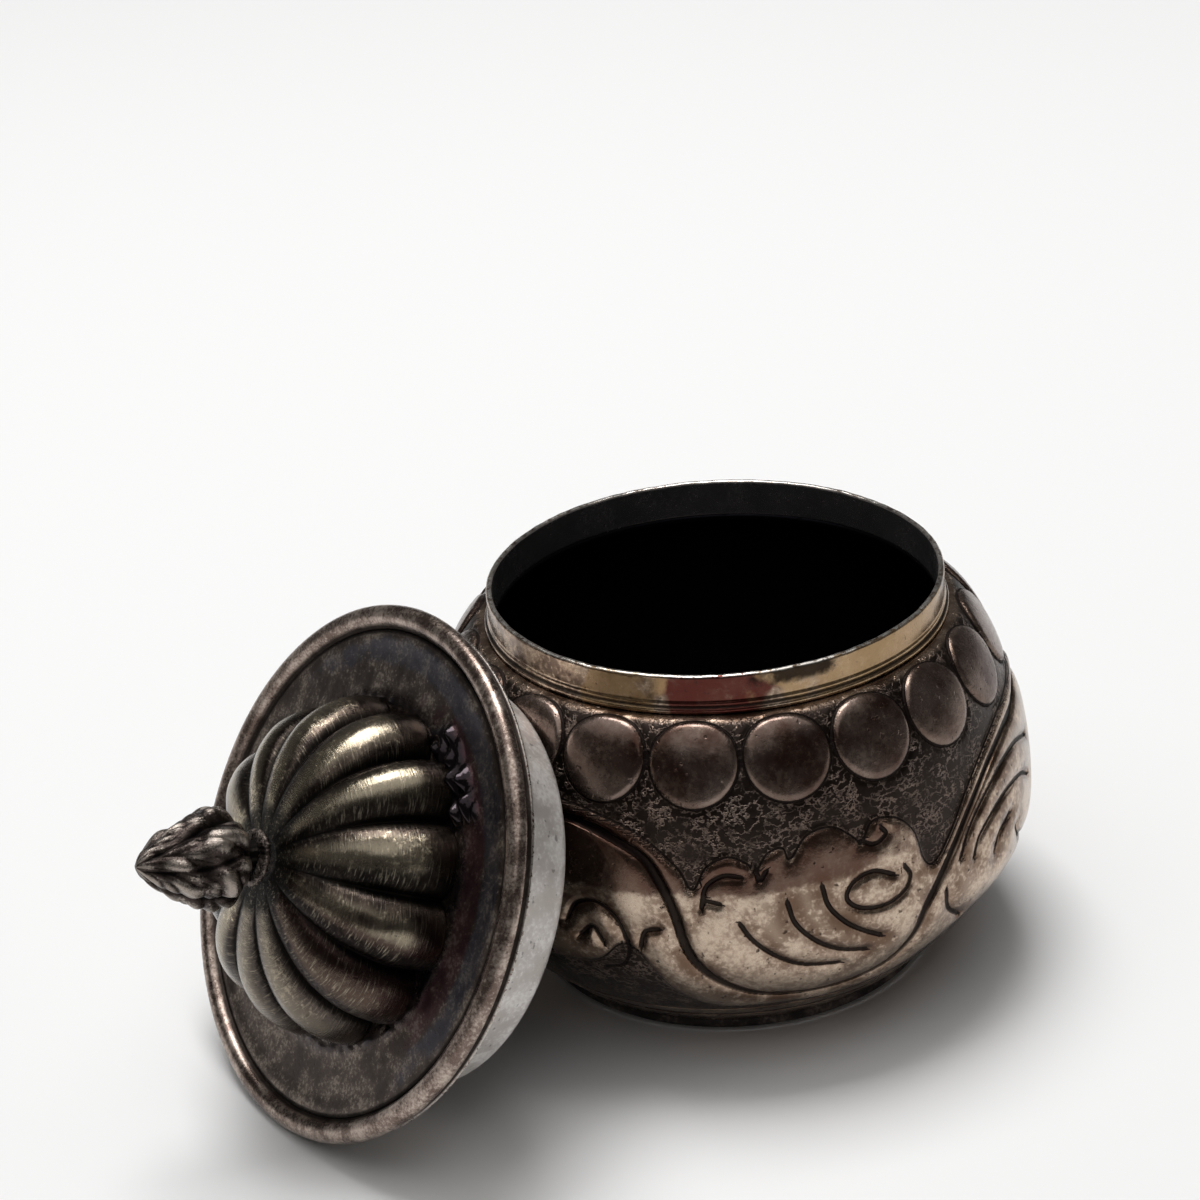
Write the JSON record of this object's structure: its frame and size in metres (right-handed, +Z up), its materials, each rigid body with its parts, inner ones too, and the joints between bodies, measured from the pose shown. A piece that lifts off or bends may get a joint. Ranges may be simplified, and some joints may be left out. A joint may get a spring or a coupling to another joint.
{
  "type": "incense box",
  "caption": "Round-bellied sheet-silver incense pot with a plug lid, lobed dome and bud finial, the lid lying off and leaning on the pot",
  "frame": {"origin": "centre of the pot's underside, on the table", "axes": "+Z up along the pot's axis; the lid lies off towards -X, leaning in the XZ plane; +Y across"},
  "size_m": [0.0975, 0.0626, 0.046],
  "materials": {
    "pot_silver": "tarnished silver, worn bright on the high places",
    "neck_silver": "tarnished silver with a warm gold and red bloom",
    "base_silver": "dark tarnished silver",
    "lid_silver": "speckled tarnish with purple and blue bloom",
    "rim_silver": "rubbed silver moulding",
    "flange_silver": "pale matte silver, little handled",
    "dome_silver": "polished lobes with dark valleys",
    "finial_silver": "dark cast silver, worn edges"
  },
  "bodies": {
    "pot": {"pot_bowl": "pot_silver", "neck_collar": "neck_silver", "base_plate": "base_silver"},
    "lid": {"lid_plate": "lid_silver", "lid_rim": "rim_silver", "lid_flange": "flange_silver", "lid_dome": "dome_silver", "finial_calyx": "finial_silver", "finial_bud": "finial_silver", "finial_washer": "finial_silver"}
  },
  "joints": [
    {"name": "lid_lift", "type": "slide", "parent": "pot", "child": "lid", "axis": [-0.8813, 0, 0.4726], "range_m": [0, 0.06]}
  ]
}
